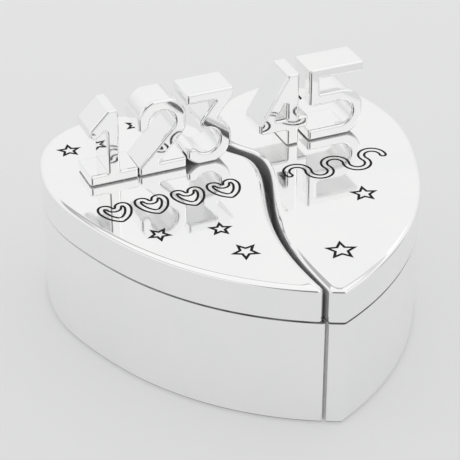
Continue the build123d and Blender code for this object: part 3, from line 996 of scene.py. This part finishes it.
# %% [markdown]
# ## Velvet inside
#
# The cups are lined as jewel boxes are: velvet over card round the wall, and a stuffed pad on the floor. The
# same pad closes the hollow of each lid. Card and stuffing round the velvet off at its edges, and it is never
# quite even, so each pad is a crowned closed form with a broad faint unevenness worked out from sines.

# %% Pads
PAD_ROLL = 0.55
PAD_CROWN = 0.5
PAD_CURVE = 0.7
PAD_WAVE = 0.08
# The rings of a pad's back and face, as shares of the way out, and how far up its edge the face starts
PAD_BACK, PAD_FACE = (0.25, 0.5, 0.75, 0.93), np.linspace(0.96, 0.12, 14)
FACE_START = 0.98


def unevenness(points):
    """A broad gentle wave, about a centimetre from crest to crest: a product of sines and a slanting sine."""
    x, y = points[:, 0], points[:, 1]
    return PAD_WAVE * (np.sin(0.52 * x + 0.3) * np.sin(0.43 * y + 1.1) + 0.5 * np.sin(0.31 * x - 0.57 * y))


def pad(name, line, middle, low, way, body, replaced):
    """A pad: flat where it is glued, its edge rolled over a half round, and its face crowned to the middle."""
    rings = [(toward(line, middle, share), low) for share in PAD_BACK]
    for lean in np.linspace(DOWN, UP, 9):
        rise = way * LINING / 2 * (1 + math.sin(lean))
        rings.append((set_in(line, PAD_ROLL * (1 - math.cos(lean))), low + rise))
    edge = rings[-1][0]
    for share in PAD_FACE:
        rise = way * (LINING + PAD_CROWN * (1 - share**2) ** PAD_CURVE)
        rings.append((toward(edge, middle, share), low + rise))
    columns = len(line[0])
    levels = [np.column_stack([ring[0], np.full(columns, height)]) for ring, height in rings]
    points = np.concatenate([levels[0].mean(0)[None], *levels, levels[-1].mean(0)[None]])
    face = np.abs(points[:, 2] - low) > FACE_START * LINING
    points[face, 2] += way * unevenness(points[face])
    faces = [group[:, ::-way] for group in ring_faces(len(rings), columns)]
    add_piece(name, points, faces, "velvet", body, replaced)


for side, sign in SIDES.items():
    middle, line = MIDDLES[sign], cup_lines[side]
    floor_line = beside(cup_outline(sign, WALL + 2 * GLUE_FILM + LINING), line, middle)
    pad(f"{side}_floor_pad", floor_line, middle, FLOOR_Z, 1, f"{side}_box", f"{side}_floor_lining")
    lid_line = beside(cup_outline(sign, HOLLOW_INSET + GLUE_FILM), line, middle)
    pad(f"{side}_lid_pad", lid_line, middle, HOLLOW_TOP_Z, -1, f"{side}_cover", f"{side}_lid_lining")

# %% [markdown]
# The wall's velvet is one band. Across it the profile is a long rounded box, its face a little fuller at top
# and bottom, where the velvet turns over the card. It goes round the wall's outline as one closed tube.

# %% Wall linings
LINING_HEADROOM = 0.6
LINING_TOP = TONGUE_Z - LINING_HEADROOM
LINING_HOLLOW = 0.10


def wall_lining(side):
    """A band round the wall: the profile's points are (depth from the wall, height), rounded top and bottom."""
    sign = SIDES[side]
    depths = (WALL + GLUE_FILM, WALL + GLUE_FILM + LINING)
    outer, inner = (beside(cup_outline(sign, depth), cup_lines[side], MIDDLES[sign])[0] for depth in depths)
    roll = LINING / 2
    across, up = (roll * pointing(np.linspace(math.pi, 0.0, 9))).T
    climb = np.linspace(FLOOR_Z + roll, LINING_TOP - roll, 14)[1:-1]
    hollow = LINING_HOLLOW * np.sin(np.pi * (climb - climb[0]) / (climb[-1] - climb[0]))
    back, top = (0 * climb, climb), (roll + across, LINING_TOP - roll + up)
    front, bottom = (LINING - hollow, climb), (roll + across, FLOOR_Z + roll - up)
    depth, height = joined(back, top, *[(run[0][::-1], run[1][::-1]) for run in (front, bottom)])
    points, squares = tube(outer, inner, depth / LINING, height)
    box, lining = f"{side}_box", f"{side}_wall_lining"
    add_piece(f"{side}_wall_velvet", points, [squares], "velvet", box, lining)


for side in SIDES:
    wall_lining(side)

# %% [markdown]
# ## Felt below
#
# A sheet of black felt, a millimetre thick, is glued into the recess under each cup. It stands a third of a
# millimetre proud and keeps silver off the table. Its cut edge is slightly rounded and never quite straight.

# %% Felt
FELT_EDGE = 0.25
FRAY = 0.03

for side, sign in SIDES.items():
    middle = MIDDLES[sign]
    line = beside(cup_outline(sign, FELT_INSET + GLUE_FILM), cup_lines[side], middle)
    place = np.arange(STATIONS)
    fray = FRAY * np.abs(np.sin(place * 0.9) * np.sin(place * 0.37 + sign))
    cut = line[0] - fray[:, None] * line[1], line[1]
    rings = flat(cut, middle, FELT_THICKNESS, UP, False)
    rings += rounding(cut, FELT_EDGE, FELT_THICKNESS - FELT_EDGE, UP, OUT, 3)
    rings += rounding(cut, FELT_EDGE, FELT_EDGE, OUT, DOWN, 3) + flat(cut, middle, 0.0, DOWN, True)
    sheet = skin(f"{side}_felt_sheet", rings, middle, "felt", f"{side}_box", f"{side}_base_felt")

# %% [markdown]
# ## Table, light and camera
#
# Mirror metal shows the room, so the room is designed rather than lit. Silver is photographed in a white
# tent: bright above and behind, a little greyer low down, and darker where the camera looks in. The sky's
# colour is read from its direction, which lights the box from all sides and hardly leaves a shadow. The table
# is a pale grey sheet with a painted glow and painted shade, and one broad soft lamp above gives the contact
# shadow its side.

# %% Table
TABLE_REACH = 1.6
TABLE_STEPS = 40
# Half of what the eye and the mirrors see of the paper is a painted glow at its plain colour, which makes its
# shadow faint. For the light it sends onto the box it is plain paper.
PAPER_GLOW = 0.5
# The paper's colour is painted darker towards the camera and paler behind, as painted shade across the table
PAPER_SHADED_NEAR, PAPER_LIT_FAR = (0.783, 0.785, 0.787), (0.875, 0.875, 0.875)
PAPER_SHADE_BLEND = (-0.12, 0.35)

span = np.linspace(-TABLE_REACH, TABLE_REACH, TABLE_STEPS + 1)
grid_x, grid_y = np.meshgrid(span, span)
columns = len(span)
here = (np.arange(TABLE_STEPS)[:, None] * columns + np.arange(TABLE_STEPS)).ravel()
corners = np.stack([grid_x.ravel(), grid_y.ravel(), np.zeros(grid_x.size)], -1)
squares = np.stack([here, here + 1, here + columns + 1, here + columns], -1)
table_mesh = bpy.data.meshes.new("table")
table_mesh.from_pydata(corners.tolist(), [], squares.tolist())
table = bpy.data.objects.new("table", table_mesh)
bpy.context.scene.collection.objects.link(table)

material, tree, shader = new_material("pale_paper")
place = added(tree, "SeparateXYZ", {"Vector": added(tree, "TexCoord", {}).outputs["Object"]})
paper = blended(tree, ranged(tree, place.outputs["Y"], 0.0, 1.0, *PAPER_SHADE_BLEND), PAPER_SHADED_NEAR, PAPER_LIT_FAR)
filled(tree, shader, {"Base Color": paper, "Roughness": 0.9, "Specular IOR Level": 0.1})
path = added(tree, "LightPath", {}).outputs
# Painted light: the paper glows at its own colour for the eye and the mirrors
seen = worked_out(tree, "MAXIMUM", path["Is Camera Ray"], path["Is Glossy Ray"])
glow = added(tree, "Emission", {"Color": paper}).outputs["Emission"]
share = product(tree, seen, PAPER_GLOW)
mixed = added(tree, "MixShader", {"Fac": share, 1: shader.outputs["BSDF"], 2: glow})
filled(tree, tree.nodes["Material Output"], {"Surface": mixed.outputs["Shader"]})
table_mesh.materials.append(material)
print("table:", len(squares), "squares,", 2 * TABLE_REACH, "m wide")

# %% Sky
# Height, as the sine of the angle above the table, with the tent's brightness there. The dip is a seam of it.
HORIZON, OVERHEAD = (0.72, 0.725, 0.73, 1.0), 0.66
TENT = ((0.22, 0.84), (0.48, 0.91), (0.62, 0.92), (0.645, 0.46), (0.695, 0.46), (0.72, 0.70))
# Each darker spot has a direction, the angles within which it is full and ends, and its brightness
CAMERA_SPOT = (-0.346, -0.770, 0.535), 12, 30, 0.12
SIDE_SPOT = (0.97, 0.0, 0.25), 4, 13, 0.5

world = bpy.data.worlds.new("white_tent")
bpy.context.scene.world = world
world.use_nodes = True
tree = world.node_tree
way = added(tree, "TexCoord", {}).outputs["Generated"]
tent = added(tree, "ValToRGB", {"Fac": ranged(tree, along_z(tree, way), 0.0, 1.0, 0.0, 1.0)})
tent.color_ramp.elements[0].color = HORIZON
for position, level in TENT:
    tent.color_ramp.elements.new(position).color = (level, level, level, 1.0)
tent.color_ramp.elements[-1].color = (OVERHEAD, OVERHEAD, OVERHEAD, 1.0)
sky = tent.outputs["Color"]
for direction, full, end, level in (CAMERA_SPOT, SIDE_SPOT):
    dot = added(tree, "VectorMath", {0: way, 1: direction}, operation="DOT_PRODUCT").outputs["Value"]
    share = ranged(tree, dot, 0.0, 1.0, math.cos(math.radians(end)), math.cos(math.radians(full)))
    sky = blended(tree, share, sky, (level, level, level))
filled(tree, tree.nodes["Background"], {"Color": sky})
print("sky:", len(tent.color_ramp.elements), "levels and two darker spots")

# %% Lamp
LAMP_SIZE, LAMP_POWER = 2.2, 4.4
LAMP_PLACE, LAMP_LEAN = (0.12, -0.10, 1.1), (5, 6, 0)

lamp_data = bpy.data.lights.new("soft_lamp", "AREA")
lamp_data.shape = "SQUARE"
lamp_data.size = LAMP_SIZE
lamp_data.energy = LAMP_POWER
lamp = bpy.data.objects.new("soft_lamp", lamp_data)
lamp.location = LAMP_PLACE
lamp.rotation_euler = [math.radians(angle) for angle in LAMP_LEAN]
bpy.context.scene.collection.objects.link(lamp)
print("lamp:", LAMP_SIZE, "m wide,", LAMP_PLACE[2], "m up")

# %% Camera
CAMERA_LENS, FILM_WIDTH = 140.0, 36.0
CAMERA_PLACE = (-0.12273, -0.27345, 0.20938)
CAMERA_LIFT, CAMERA_SWING = 32.25, -23.13

camera_data = bpy.data.cameras.new("camera")
camera_data.sensor_width = FILM_WIDTH
camera_data.lens = CAMERA_LENS
camera_data.clip_start = 0.01
camera = bpy.data.objects.new("camera", camera_data)
camera.location = CAMERA_PLACE
camera.rotation_euler = (math.radians(90 - CAMERA_LIFT), 0.0, math.radians(CAMERA_SWING))
bpy.context.scene.collection.objects.link(camera)
bpy.context.scene.camera = camera
bpy.context.scene.view_settings.view_transform = "Standard"
print("camera:", round(math.dist(CAMERA_PLACE, (0.0, 0.0, 0.0)), 3), "m from the box's middle")
